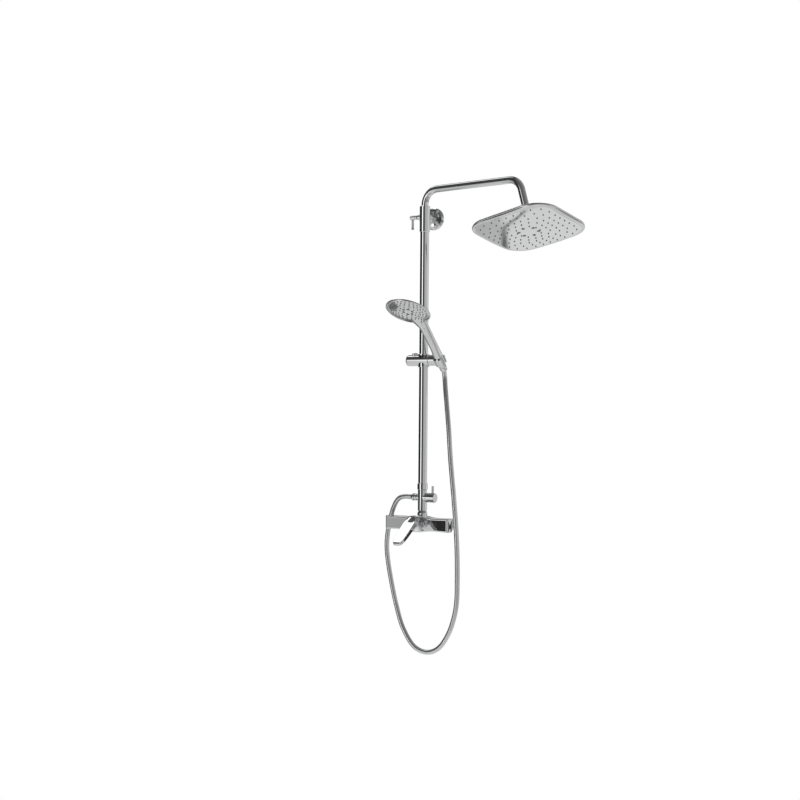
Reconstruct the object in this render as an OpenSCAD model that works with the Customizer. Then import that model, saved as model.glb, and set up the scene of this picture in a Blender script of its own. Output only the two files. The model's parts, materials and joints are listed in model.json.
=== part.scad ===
// Wall-mounted shower column: two-inlet lever mixer, diverter, riser with a sliding
// handset holder, and a telescopic swivel arm that carries a large rain head.
// The origin is on the wall plane, midway between the two water inlets at mixer height.
// +X is to the right along the wall, +Y goes into the wall, +Z is up.

/* [Column] */
// Distance from the wall to the riser's axis
wall_gap = 52; // [48:1:70]
// Outside diameter of the riser tube
riser_d = 24; // [22:0.5:26]
// Height of the riser's top end above the mixer's axis
riser_top = 852; // [820:1:1000]
// Height of the bracket's axis above the mixer's axis
bracket_z = 828; // [800:1:960]
// Height of the diverter's cross axis
diverter_z = 70; // [66:1:80]

/* [Shower arm] */
// Height of the arm's level run
arm_z = 900; // [898:1:1060]
// Outside diameter of the arm tube
arm_d = 19; // [18:0.5:19]
// Angle by which the arm points away from the wall
arm_yaw = 6.3; // [0:0.1:20]
// Distance from the riser's axis to the corner over the head
arm_reach = 300.5; // [260:0.5:380]
// Lean of the arm's down leg from the vertical
leg_lean = 16; // [10:0.5:20]
// Centreline radius of the first bend
bend_one_r = 40; // [34:1:42]
// Centreline radius of the second bend
bend_two_r = 38; // [34:1:44]

/* [Rain head] */
// Side of the rain head between its flat sides
head_side = 242; // [220:1:280]
// Radius of the rain head's corners
head_corner_r = 58; // [40:1:70]
// Rise of the head's outer edge, in degrees
head_rise = 11.6; // [6:0.1:14]
// Rise of the head's front edge, in degrees
head_front_rise = 11.3; // [6:0.1:14]

/* [Handset] */
// Height of the slider's cross axis
slider_z = 440; // [300:1:600]
// Distance of the holder's socket from the riser's axis
holder_x = 51; // [50:1:56]
// Diameter of the handset's spray face
face_d = 119; // [100:1:125]
// Lean of the handset's handle from the vertical
handle_lean = 42; // [40:0.5:44]

/* [Mixer] */
// Half of the distance between the two inlets
inlet_half = 75; // [74:0.5:76]
// Half length of the mixer's body
mixer_half = 98; // [97:1:104]
// Upward tilt of the cartridge's axis
hub_tilt = 6; // [3:1:9]

/* [Hose] */
// Outside diameter of the hose
hose_d = 13; // [12:0.5:14]

/* [Hidden] */
$fn = 48;

riser_r = riser_d / 2;
arm_r = arm_d / 2;
hose_r = hose_d / 2;
bore_gap = 0.05;
body_gap = 0.3;
sleeve_r = 14;
sleeve_top = 857;
sleeve_bottom = 787;
second_turn = 90 - leg_lean;
ball_r = 13;
ball_from_corner = 100;
head_drop = 35.5;
face_tilt = 26;
lever_pitch = 36.7;
holder_start = 20;
slider_r = 14.6;
button_x = -27;

// Route of the hose from the diverter's outlet round the loop and up to the handset.
hose_route = [[-28.6, -52, 70], [-58, -52, 70], [-78, -50, 62], [-94, -46, 41], [-106, -42, 14],
    [-115, -42, -24], [-118, -44, -66], [-112, -46, -112], [-98, -48, -172], [-82, -48, -232],
    [-60, -50, -288], [-24, -52, -334], [18, -53, -346], [56, -54, -330], [86, -56, -290],
    [104, -58, -244], [114, -62, -200], [117.5, -66, -140], [117.5, -68, -73], [114, -69, -2],
    [107, -68, 66], [104, -67, 90], [91.5, -61, 174], [81, -54, 256], [64.5, -40, 338],
    [57, -32, 367], [50.8, -25.5, 397], [51, -31.2, 416.9]];

// Catmull-Rom point at parameter t between route points i and i + 1.
function route_at(p, i, t) = let(
    a = p[max(i - 1, 0)], b = p[i], c = p[min(i + 1, len(p) - 1)],
    d = p[min(i + 2, len(p) - 1)])
    0.5 * (2 * b + (c - a) * t + (2 * a - 5 * b + 4 * c - d) * t * t
    + (3 * b - a - 3 * c + d) * t * t * t);
function unit(v) = v / norm(v);

// A round tube swept along route points first to last, with steps rings between each two.
module hose_run(first, last, steps) {
    sides = 10;
    path = [for (i = [first:last - 1]) for (k = [0:steps - 1]) route_at(hose_route, i, k / steps),
        hose_route[last]];
    n = len(path);
    rings = [for (i = [0:n - 1]) let(
        joint = i == 0 ? first : last,
        t = i == 0 || i == n - 1
            ? unit(hose_route[min(joint + 1, len(hose_route) - 1)] - hose_route[max(joint - 1, 0)])
            : unit(path[i + 1] - path[i - 1]),
        side = unit(cross(t, [0.17, 0.98, 0.05])), up = cross(side, t))
        [for (k = [0:sides - 1]) path[i] + (i == 0 ? 0.08 : 0) * t
        + hose_r * (cos(360 * k / sides) * side + sin(360 * k / sides) * up)]];
    points = [for (r = rings) for (p = r) p];
    walls = [for (i = [0:n - 2]) for (k = [0:sides - 1])
        [i * sides + k, i * sides + (k + 1) % sides,
        (i + 1) * sides + (k + 1) % sides, (i + 1) * sides + k]];
    near_cap = [[for (k = [sides - 1:-1:0]) k]];
    far_cap = [[for (k = [0:sides - 1]) (n - 1) * sides + k]];
    polyhedron(points = points, faces = concat(near_cap, walls, far_cap), convexity = 6);
}

// A tube along +Z from z = low to z = high.
module pipe(outer, inner, low, high) {
    translate([0, 0, low]) difference() {
        cylinder(r = outer, h = high - low);
        translate([0, 0, -1]) cylinder(r = inner, h = high - low + 2);
    }
}

// A disc or ring along +Z with both outer edges bevelled.
module bevelled(outer, inner, low, high, bevel = 1) {
    rotate_extrude() polygon([[inner, low], [outer - bevel, low], [outer, low + bevel],
        [outer, high - bevel], [outer - bevel, high], [inner, high]]);
}

module on_riser(z = 0) { translate([0, -wall_gap, z]) children(); }
module along_x() { rotate([0, 90, 0]) children(); }
module along_minus_x() { rotate([0, -90, 0]) children(); }
module along_y() { rotate([-90, 0, 0]) children(); }
module along_minus_y() { rotate([90, 0, 0]) children(); }

// ---- wall bracket -------------------------------------------------------------

module wall_base() {
    color("gainsboro") translate([0, 0, bracket_z]) along_minus_y() difference() {
        union() {
            bevelled(26, 0, 0, 4, 0.5);
            cylinder(r = 10, h = 12);
        }
        for (x = [-18, 18]) translate([x, 0, -1]) cylinder(r = 2.6, h = 6);
        translate([0, 0, 5]) cylinder(r = 4.05, h = 10);
    }
}

module wall_rosette() {
    color("silver") translate([0, 0, bracket_z]) along_minus_y() rotate_extrude()
        polygon([[27.5, 0.4], [30, 0.4], [30, 6], [27, 9.5], [21, 12], [13.2, 12.6], [13.2, 10],
        [20, 9.5], [25.5, 7.5], [27.5, 5]]);
}

module bracket_arm() {
    reach = wall_gap - sleeve_r;
    color("silver") translate([0, 0, bracket_z]) along_minus_y() difference() {
        union() {
            bevelled(13, 0, 12.2, reach + 3, 0.6);
            translate([0, 0, 5.2]) cylinder(r = 4, h = 8);
        }
        translate([0, 0, wall_gap]) along_minus_y() cylinder(r = sleeve_r + 0.02, h = 80, center = true);
        translate([0, 0, wall_gap - 18]) cylinder(r = 2.5, h = 8);
    }
}

module bracket_sleeve() {
    color("silver") on_riser() difference() {
        union() {
            bevelled(sleeve_r, 0, sleeve_bottom, sleeve_top, 1.2);
            translate([-15.6, 0, bracket_z]) along_x() cylinder(r = 7.5, h = 5);
        }
        translate([0, 0, sleeve_bottom - 1])
            cylinder(r = riser_r + 0.05, h = riser_top - sleeve_bottom + 1.2);
        translate([0, 0, riser_top]) cylinder(r = arm_r + body_gap, h = 10);
        translate([-30, 0, bracket_z]) along_x() cylinder(r = 3.05, h = 24);
        translate([0, 0, bracket_z]) along_y() translate([0, 0, 8]) cylinder(r = 2.5, h = 8);
    }
}

module bracket_screw() {
    color("dimgray") on_riser(bracket_z) along_y() translate([0, 0, 12.4]) difference() {
        cylinder(r = 2.45, h = 5.4);
        translate([0, 0, 3.4]) cylinder(r = 1.3, h = 3, $fn = 6);
    }
}

// ---- riser and diverter -----------------------------------------------------------

module riser_tube() {
    color("silver") on_riser() difference() {
        pipe(riser_r, riser_r - 1.2, 91.4, riser_top);
        translate([-riser_r - 1, 0, bracket_z]) along_x() cylinder(r = 3.4, h = 6);
        translate([0, 0, bracket_z]) along_y() cylinder(r = 2.8, h = 20);
    }
}

module riser_collar() {
    color("silver") on_riser() bevelled(sleeve_r, riser_r + 0.05, 91.3, 108, 1);
}

module diverter_body() {
    color("silver") on_riser() difference() {
        union() {
            bevelled(12.5, 0, 35.2, 91.2, 0.6);
            cylinder_between(10.4, 91, 106);
            cylinder_between(8.8, 28.5, 36);
            cylinder_between(9.8, 28.5, 30.6);
            translate([0, 0, diverter_z]) along_x() bevelled(11, 0, 0, 14, 0.5);
            translate([0, 0, diverter_z]) along_minus_x() cylinder(r = 8.2, h = 14.4);
        }
        cylinder_between(6.5, 28, 107);
        translate([-4, 0, diverter_z]) along_x() cylinder(r = 5, h = 20);
        translate([0, 0, diverter_z]) along_minus_x() cylinder(r = 5.6, h = 20);
    }
}

// A solid rod along +Z between two heights.
module cylinder_between(r, low, high) {
    translate([0, 0, low]) cylinder(r = r, h = high - low);
}

module column_nut() {
    color("silver") on_riser() difference() {
        rotate_extrude() polygon([[0, 22.4], [12.6, 22.4], [13.2, 24], [13, 29], [12, 33],
            [10.6, 35], [0, 35]]);
        cylinder_between(9.95, 15, 30.8);
        cylinder_between(8.95, 30, 36);
    }
}

module outlet_nipple() {
    color("gold") on_riser(diverter_z) along_minus_x() pipe(5.5, 4, 2, 27);
}

module hose_nut_lower() {
    color("silver") on_riser(diverter_z) along_minus_x() rotate_extrude()
        polygon([[8.4, 14.6], [9.3, 15.4], [9.3, 22], [8.8, 23], [9, 25], [8.6, 29], [7.4, 33],
        [6.6, 33], [6.6, 28], [5.6, 27.2], [5.6, 16], [8.4, 16]]);
}

module diverter_knob() {
    color("silver") on_riser(diverter_z) along_x() difference() {
        bevelled(12.8, 0, 14.4, 40, 1);
        translate([0, 0, 13]) cylinder(r = 5, h = 21);
        translate([0, 0, 32]) rotate([0, -90, 0]) cylinder_between(3.4, 12.5, 20);
    }
}

module diverter_pin() {
    color("silver") on_riser(diverter_z) translate([32, 0, 0]) {
        bevelled(3.4, 0, 12.5, 32, 0.6);
    }
}

module diverter_spindle() {
    color("goldenrod") on_riser(diverter_z) along_x() {
        translate([0, 0, -1.8]) cylinder(r = 5 - bore_gap, h = 35.7);
    }
}

// ---- arm lock ------------------------------------------------------------------

module lock_knob() {
    color("silver") on_riser(bracket_z) along_minus_x() {
        rotate_extrude() polygon([[0, 16], [7.2, 16], [7.2, 20], [5.6, 24], [5.6, 28], [6, 30],
            [6, 44], [5, 45.2], [0, 45.2]]);
        translate([0, 0, 10.2]) cylinder(r = 3, h = 6);
    }
}

module lock_pin() {
    color("silver") on_riser(bracket_z) translate([-38, 0, 0]) rotate([180, 0, 0])
        rotate_extrude() polygon([[0, 6.1], [3, 6.1], [3.4, 28], [3.7, 31], [3.1, 32.4], [0, 32.4]]);
}

// ---- telescopic arm ----------------------------------------------------------------

module arm_frame() { on_riser() rotate([0, 0, -arm_yaw]) children(); }
module corner_frame() {
    arm_frame() translate([arm_reach, 0, arm_z]) rotate([0, 180 - leg_lean, 0]) children();
}

module guide_bush() {
    color("dimgray") on_riser() pipe(riser_r - 1.25, arm_r + bore_gap, 606, 640);
}

module arm_seals() {
    color("black") on_riser() for (z = [598, 643]) translate([0, 0, z])
        pipe(riser_r - 1.3, arm_r - 0.9, 0, 3);
}

module shower_arm() {
    tangent = bend_two_r * tan(second_turn / 2);
    run_end = arm_reach - tangent;
    color("silver") difference() {
        union() {
            on_riser() cylinder_between(arm_r, 590, arm_z - bend_one_r + 1);
            arm_frame() {
                translate([0, 0, arm_z - bend_one_r]) bend(bend_one_r, 90, 90);
                translate([bend_one_r - 1, 0, arm_z]) along_x()
                    cylinder(r = arm_r, h = run_end - bend_one_r + 2);
                translate([run_end - bend_two_r, 0, arm_z - bend_two_r])
                    bend(bend_two_r, 90 - second_turn, second_turn);
            }
            corner_frame() cylinder_between(arm_r, tangent - 1, 70);
        }
        for (z = [598, 643]) on_riser(z) pipe(20, arm_r - 1, -0.1, 3.1);
        on_riser() cylinder_between(arm_r - 2.2, 580, arm_z - bend_one_r + 0.5);
        corner_frame() cylinder_between(6.5, 56, 80);
    }
}

// A bend of the arm in its plane, 0.06 mm thinner than the straight runs it slips into.
module bend(r, start, turn) {
    translate([r, 0, 0]) rotate([90, 0, 0]) rotate([0, 0, start])
        rotate_extrude(angle = turn) translate([r, 0]) circle(r = arm_r - 0.06);
}

module ball_stem() {
    color("silver") corner_frame() {
        cylinder_between(6.4, 57, 70.2);
        bevelled(arm_r, 0, 70.1, 80, 0.8);
        cylinder_between(7.4, 79, 94);
        translate([0, 0, ball_from_corner]) sphere(r = ball_r);
    }
}

// ---- rain head ---------------------------------------------------------------------

module ball_frame() { corner_frame() translate([0, 0, ball_from_corner]) children(); }

// Frame of the head's rim: origin in the rim plane's centre, +Z out of the back.
module head_frame() {
    arm_frame() translate([arm_reach, 0, arm_z]) rotate([0, 180 - leg_lean, 0])
        translate([0, 0, ball_from_corner]) rotate([0, leg_lean - 180, 0])
        rotate([0, -head_rise, 0]) rotate([-head_front_rise, 0, 0])
        translate([0, 0, -head_drop]) children();
}

// A square with round corners, centred.
module round_square(side, r) {
    flat = side / 2 - r;
    polygon([for (q = [0:3]) for (a = [0:7.5:90])
        let(c = [[1, 1], [-1, 1], [-1, -1], [1, -1]][q] * flat)
        c + r * [cos(a + 90 * q), sin(a + 90 * q)]]);
}

module seat_ring() {
    color("black") ball_frame() intersection() {
        difference() {
            sphere(r = 15.6);
            sphere(r = ball_r + bore_gap);
        }
        translate([-20, -20, 8]) cube([40, 40, 4.5]);
    }
}

module ball_nut() {
    color("silver") head_frame() translate([0, 0, head_drop]) difference() {
        bevelled(19.5, 0, -14, 9, 1.2);
        sphere(r = ball_r + bore_gap);
        translate([0, 0, -20]) cylinder(r = 15.9, h = 18);
        translate([0, 0, 5]) cylinder(r = 10.3, h = 8);
    }
}

module head_shell() {
    rim = 4;
    color("silver") head_frame() difference() {
        union() {
            linear_extrude(rim) round_square(head_side, head_corner_r);
            hull() {
                translate([0, 0, rim - 0.1]) linear_extrude(0.1)
                    round_square(head_side - 4, head_corner_r - 2);
                translate([0, 0, 10]) linear_extrude(0.1)
                    round_square(head_side - 60, head_corner_r - 16);
                translate([0, 0, head_drop - 15.2]) cylinder(r = 24, h = 1, $fn = 32);
            }
        }
        translate([0, 0, -1]) linear_extrude(rim) round_square(head_side - 5, head_corner_r - 2.5);
        hull() {
            translate([0, 0, rim - 2]) linear_extrude(0.1)
                round_square(head_side - 10, head_corner_r - 5);
            translate([0, 0, head_drop - 19]) cylinder(r = 21, h = 1, $fn = 32);
        }
        cylinder_between(15.95, 8, 40);
    }
}

// The domed spray plate, lowest in its middle, with an upright edge all round.
module head_face() {
    sag = 9;
    reach = 150;
    dome_r = (reach * reach + sag * sag) / (2 * sag);
    dome_z = dome_r - sag - 0.6;
    color("lightgray") head_frame() difference() {
        intersection() {
            translate([0, 0, -30]) linear_extrude(32.6) round_square(head_side - 5.6, head_corner_r - 2.8);
            translate([0, 0, dome_z]) sphere(r = dome_r, $fn = 360);
        }
        intersection() {
            translate([0, 0, -30]) linear_extrude(40) round_square(head_side - 13, head_corner_r - 6.5);
            translate([0, 0, dome_z]) sphere(r = dome_r - 3, $fn = 360);
        }
    }
}

// Half size of a rounded-square ring of nozzles in the direction a.
function ring_reach(a, half) = half / pow(pow(abs(cos(a)), 5) + pow(abs(sin(a)), 5), 1 / 5);

module head_nozzles() {
    rings = [[28, 10], [46, 16], [64, 22], [82, 26], [100, 30]];
    sag_at = 9 / (150 * 150);
    color("gray") head_frame() for (ring = rings) for (k = [0:ring[1] - 1]) {
        a = 360 * (k + 0.5) / ring[1];
        d = ring_reach(a, ring[0]);
        translate([d * cos(a), d * sin(a), -9.6 + sag_at * d * d - 1.4])
            cylinder(r = 1.3, h = 1.3, $fn = 16);
    }
}

// ---- slider ------------------------------------------------------------------------

module slider_bush() {
    color("dimgray") on_riser(slider_z) difference() {
        pipe(riser_r + 1.9, riser_r + body_gap, -22, 15.4);
        translate([-riser_r - 6, -6, -6]) cube([8, 12, 12]);
    }
}

module slider_body() {
    color("silver") on_riser(slider_z) difference() {
        union() {
            translate([holder_start - 0.3, 0, 0]) along_minus_x() bevelled(slider_r, 0, 0, 65, 1);
            bevelled(16, 0, -22, 15.4, 1);
            translate([button_x, 0, 10]) bevelled(9.2, 0, 0, 6, 0.8);
        }
        translate([0, 0, -25]) cylinder(r = riser_r + 1.9 + bore_gap, h = 50);
        translate([-40, 0, 0]) along_x() cylinder(r = 9, h = 26);
        translate([button_x, 0, 4]) cylinder(r = 7.7, h = 20);
        translate([-46, 0, 0]) along_x() cylinder(r = 12.1, h = 6.2);
        translate([15.1, 0, 0]) along_x() cylinder(r = 8.05, h = 6);
    }
}

module slider_cap() {
    color("silver") on_riser(slider_z) along_minus_x() {
        rotate_extrude() polygon([[0, 45.4], [14.4, 45.4], [14.9, 46.4], [13.8, 48.6], [8, 49.8],
            [0, 50.2]]);
        bevelled(12, 0, 40, 45.5, 0.5);
    }
}

module brake_pad() {
    color("black") on_riser(slider_z) translate([-riser_r - 5.4, -5, -5]) cube([3.3, 10, 10]);
}

module release_button() {
    color("silver") on_riser(slider_z) translate([button_x, 0, 0]) {
        bevelled(7.4, 0, 13, 20.4, 1);
        cylinder_between(3, 6, 13.2);
    }
}

module button_spring() {
    turns = 4;
    color("gray") on_riser(slider_z) translate([button_x, 0, 0]) for (k = [0:turns])
        rotate_extrude($fn = 24) translate([4.4, 7.4 + 1.26 * k]) circle(r = 0.5, $fn = 12);
}

// ---- handset holder -----------------------------------------------------------------

module socket_frame() {
    translate([holder_x, -wall_gap, slider_z]) rotate([handle_lean, 0, 0]) children();
}

module holder_socket() {
    color("silver") difference() {
        union() {
            on_riser(slider_z) along_x() bevelled(slider_r, 0, holder_start, 43, 1);
            socket_frame() rotate_extrude() polygon([[0, -13], [14.6, -13], [15.5, -11.5],
                [16.8, 11], [15.8, 12.5], [0, 12.5]]);
        }
        socket_frame() rotate_extrude() polygon([[0, -17], [12.05, -17], [13.65, 17.5], [0, 17.5]]);
        socket_frame() translate([0, -7.4, -30]) cube([40, 14.8, 60]);
        on_riser(slider_z) along_x() cylinder(r = 6.05, h = 34);
    }
}

module holder_spindle() {
    color("goldenrod") on_riser(slider_z) along_x() {
        cylinder_between(8, 15.2, 19.6);
        cylinder_between(6, 19.5, 33);
    }
}

// ---- handset -----------------------------------------------------------------------

face_y = -217;
face_z = 561;
// Frame of the spray face: origin at its rim's centre, +Z out of the back of the head.
module face_frame() { translate([holder_x, face_y, face_z]) rotate([-face_tilt, 0, 0]) children(); }

// Centres (y, z) and half sizes (across, through) of the handle's sections, bottom to top.
handle_sections = [[-71, 461, 11.6, 11.4], [-83, 474, 11.2, 10.8], [-99.5, 490.5, 11.2, 10.6],
    [-118.5, 508.5, 11.4, 10.8], [-138, 526, 12.4, 10.8], [-152.5, 533.5, 14.5, 9],
    [-166.5, 540, 18, 6.5], [-183, 549, 21, 4]];

// The handle: elliptical sections joined along its curved centreline.
module handle_loft() {
    sides = 24;
    n = len(handle_sections);
    centres = [for (q = handle_sections) [holder_x, q[0], q[1]]];
    points = [for (i = [0:n - 1]) let(
        t = unit(centres[min(i + 1, n - 1)] - centres[max(i - 1, 0)]), up = cross(t, [1, 0, 0]))
        for (k = [0:sides - 1]) centres[i]
        + handle_sections[i][2] * cos(360 * k / sides) * [1, 0, 0]
        + handle_sections[i][3] * sin(360 * k / sides) * up];
    walls = [for (i = [0:n - 2]) for (k = [0:sides - 1])
        [i * sides + k, (i + 1) * sides + k,
        (i + 1) * sides + (k + 1) % sides, i * sides + (k + 1) % sides]];
    near_cap = [[for (k = [0:sides - 1]) k]];
    far_cap = [[for (k = [sides - 1:-1:0]) (n - 1) * sides + k]];
    polyhedron(points = points, faces = concat(near_cap, walls, far_cap), convexity = 4);
}

module handset_shell() {
    rim = face_d / 2;
    color("silver") difference() {
        union() {
            socket_frame() rotate_extrude() polygon([[0, -21], [10.4, -21], [11.4, -17],
                [13, 17], [12.4, 24], [11.6, 34], [9, 35], [0, 35]]);
            handle_loft();
            face_frame() rotate_extrude() polygon([[0, 0], [rim, 0], [rim, 1.5],
                [rim - 7.5, 4.6], [rim - 20, 9.4], [24, 14], [0, 16.8]]);
        }
        socket_frame() cylinder_between(6.6, -30, 60);
        face_frame() cylinder_between(rim - 3.5, -30, 3.2);
        face_frame() cylinder_between(34, 3, 8);
        face_frame() cylinder_between(4, 7.5, 13);
    }
}

module handset_connector() {
    color("gold") socket_frame() pipe(6.5, 4.5, -26.5, -8);
}

module hose_nut_upper() {
    color("silver") socket_frame() rotate_extrude() polygon([[6.6, -22], [9.4, -22], [9.9, -24.5],
        [10, -28], [9.8, -31], [9.4, -33], [8.8, -33], [7.8, -31], [6.9, -29.4], [6.6, -28]]);
}

module handset_face() {
    color("lightgray") face_frame() difference() {
        union() {
            rotate_extrude() polygon([[0, -3.4], [30, -3], [46, -1.8], [face_d / 2 - 4.6, 0],
                [face_d / 2 - 4, 0.6], [face_d / 2 - 4, 2.8], [0, 2.8]]);
        }
        cylinder_between(4 + bore_gap, -2, 4);
    }
}

module handset_nozzles() {
    rings = [[22, 10, -3.83], [30, 15, -3.72], [38, 20, -3.19], [49, 28, -2.12]];
    color("gray") face_frame() for (ring = rings) for (k = [0:ring[1] - 1])
        rotate([0, 0, 360 * k / ring[1]]) translate([ring[0], 0, ring[2]])
        cylinder(r = 1.1, h = 0.7, $fn = 16);
}

module face_spindle() {
    color("goldenrod") face_frame() cylinder_between(3.95, -1.6, 12.9);
}

// ---- mixer -------------------------------------------------------------------------

body_front = 79;
body_back = 42;
body_shift = -4;
nut_start = body_back - 20;
hub_r = 21;
hub_front = 21;
pivot = hub_front + 4;
cap_r = 19.6;
cap_front = 51;
dome_outer = 17.5;

// Frame of the cartridge: origin inside the body, +Z out along the tilted axis.
module hub_frame() { translate([0, 20 - body_front, 0]) rotate([90 - hub_tilt, 0, 0]) children(); }

// Half height of the mixer's body at distance x from its middle.
function half_height(x) = let(waist = 52, d = abs(x))
    d < waist ? 19.6 + 2.6 * cos(180 * d / waist)
    : 17 + 1.4 * pow((d - waist) / (mixer_half - waist), 2);

// Plan outline of the mixer's body, seen from above, with rounder corners at the back.
module mixer_plan() {
    front_r = 11;
    back_r = 17;
    right = concat(
        [for (a = [-90:10:0]) [mixer_half - front_r, -body_front + front_r] + front_r * [cos(a), sin(a)]],
        [for (a = [10:10:90]) [mixer_half - back_r, -body_back - back_r] + back_r * [cos(a), sin(a)]]);
    polygon(concat(right, [for (k = [len(right) - 1:-1:0]) [-right[k][0], right[k][1]]]));
}

module mixer_body() {
    steps = 24;
    xs = [for (k = [-steps:steps]) mixer_half * k / steps];
    color("silver") difference() {
        union() {
            translate([body_shift, 0, 0]) intersection() {
                along_minus_y() linear_extrude(200) polygon(concat([for (x = xs) [x, half_height(x)]],
                    [for (k = [len(xs) - 1:-1:0]) [xs[k], -half_height(xs[k])]]));
                translate([0, 0, -40]) linear_extrude(80) mixer_plan();
            }
            hub_frame() cylinder_between(hub_r, 4, hub_front);
            for (x = [-inlet_half, inlet_half]) translate([x, -nut_start, 0]) along_minus_y() {
                cylinder_between(9.2, 12.4, 23);
                cylinder_between(11.6, 12.4, 14.8);
            }
            on_riser() cylinder_between(9.85, 14, 28);
        }
        for (x = [-inlet_half, inlet_half]) translate([x, 0, 0]) along_minus_y()
            cylinder_between(7, nut_start, 64);
        translate([0, -58, 0]) along_x() cylinder(r = 7, h = 2 * inlet_half, center = true);
        hub_frame() cylinder_between(17.6, -6, 40);
        hub_frame() cylinder_between(21.5, hub_front + 0.1, 40);
        on_riser() cylinder_between(6.5, 0, 40);
    }
}

module union_nuts() {
    color("silver") for (x = [-inlet_half, inlet_half]) translate([x, -nut_start, 0]) along_minus_y()
        difference() {
            intersection() {
                cylinder(r = 17.6, h = 16.6, $fn = 6);
                rotate_extrude() polygon([[0, 0], [15.6, 0], [17.4, 2], [17.4, 15], [16.4, 16.6],
                    [0, 16.6]]);
            }
            cylinder_between(12.1, -1, 11.2);
            cylinder_between(11.75, 10, 14.9);
            cylinder_between(9.4, 14, 18);
        }
}

module inlet_washers() {
    color("black") for (x = [-inlet_half, inlet_half]) translate([x, -nut_start, 0]) along_minus_y()
        pipe(11.6, 7.2, 11.3, 12.35);
}

module non_return_valves() {
    color("white") for (x = [-inlet_half, inlet_half]) translate([x, -nut_start, 0]) along_minus_y()
        pipe(6.95, 4.2, 14, 24);
}

module cartridge() {
    color("white") hub_frame() difference() {
        cylinder_between(17.4, -5, hub_front - 1);
        cylinder_between(5 + bore_gap, 4, 30);
        cylinder_between(8.6 + bore_gap, pivot - 5, 30);
    }
}

module cartridge_nut() {
    color("goldenrod") hub_frame() pipe(17.5, 9, hub_front - 0.9, hub_front + 0.5);
}

// Flange on the hub and a dome round the pivot, open in its middle for the lever's stem.
module trim_ring() {
    inner = dome_outer - 1.6;
    base = hub_front + 1.2 - pivot;
    function arc(r, low, high) = [for (k = [0:8]) let(
        a = asin(low / r) + (asin(high / r) - asin(low / r)) * k / 8)
        [r * cos(a), pivot + r * sin(a)]];
    inside = arc(inner, base - 0.5, 10.4);
    color("silver") hub_frame() rotate_extrude() polygon(concat(
        [[17.8, hub_front + 0.2], [21.2, hub_front + 0.2], [21.2, pivot + base - 0.5],
        [20.7, pivot + base]], arc(dome_outer, base, 12.7),
        [for (k = [8:-1:0]) inside[k]], [[17.8, pivot + base - 0.5]]));
}

// The rotating carrier inside the cartridge, slotted for the lever's stem.
module cartridge_rotor() {
    color("white") hub_frame() difference() {
        union() {
            cylinder_between(5, 4.2, pivot - 4.8);
            cylinder_between(8.6, pivot - 4.8, pivot + 4);
        }
        translate([-4.05, -10, pivot - 3]) cube([8.1, 20, 10]);
        translate([0, 0, pivot]) along_x() cylinder(r = 1.52, h = 20, center = true);
    }
}

module rotor_pin() {
    color("goldenrod") hub_frame() translate([0, 0, pivot]) along_x()
        cylinder(r = 1.5, h = 16, center = true);
}

module lever_stem() {
    color("goldenrod") hub_frame() difference() {
        cylinder_between(4, pivot - 1.1, cap_front - 2.2);
        translate([0, 0, pivot]) along_x() cylinder(r = 1.5 + bore_gap, h = 20, center = true);
    }
}

// Frame of the paddle: origin at its root's upper face, +X along the paddle to its tip.
module lever_frame() {
    translate([0, -110, 15.5]) rotate([0, 0, -90]) rotate([0, lever_pitch, 0]) children();
}

module lever_cap() {
    color("silver") hub_frame() difference() {
        bevelled(cap_r, 0, pivot + 6.6, cap_front, 1.4);
        translate([0, 0, pivot]) sphere(r = dome_outer + 0.4);
        cylinder_between(4 + bore_gap, pivot, cap_front - 2);
        translate([0, -60, cap_front - 5]) along_y() cylinder_between(2.1, 0, 57);
    }
}

module lever_handle() {
    color("silver") {
        hull() {
            hub_frame() translate([0, 0, cap_front]) cylinder(r = 18, h = 1, $fn = 32);
            lever_frame() translate([20, 0, -12]) linear_extrude(12) round_rect(20, 34, 6);
        }
        hull() {
            lever_frame() translate([20, 0, -11.6]) linear_extrude(11.2) round_rect(19, 33.4, 6);
            lever_frame() translate([85, 0, -8]) linear_extrude(7) round_rect(22, 30, 10);
        }
    }
}

module lever_screw() {
    color("dimgray") hub_frame() translate([0, -16, cap_front - 5]) along_y() difference() {
        cylinder(r = 2.05, h = 11.9);
        translate([0, 0, -1]) cylinder(r = 1.1, h = 3, $fn = 6);
    }
}

module index_plug() {
    color("dimgray") hub_frame() translate([0, -16, cap_front - 5]) along_y()
        cylinder_between(2.05, -3, -0.2);
}

// A rectangle with round corners, centred.
module round_rect(w, h, r) {
    polygon([for (q = [0:3]) for (a = [0:15:90])
        let(c = [[1, 1], [-1, 1], [-1, -1], [1, -1]][q])
        [c[0] * (w / 2 - r) + r * cos(a + 90 * q), c[1] * (h / 2 - r) + r * sin(a + 90 * q)]]);
}

// ---- hose --------------------------------------------------------------------------

module hose_left() { color("gray") hose_run(0, 12, 4); }
module hose_right() { color("gray") hose_run(12, 21, 3); }
module hose_bush() { color("gray") hose_run(21, 22, 4); }
module hose_slider() { color("gray") hose_run(22, 23, 4); }
module hose_holder() { color("gray") hose_run(23, 24, 4); }
module hose_handset() { color("gray") hose_run(24, 27, 3); }

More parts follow.
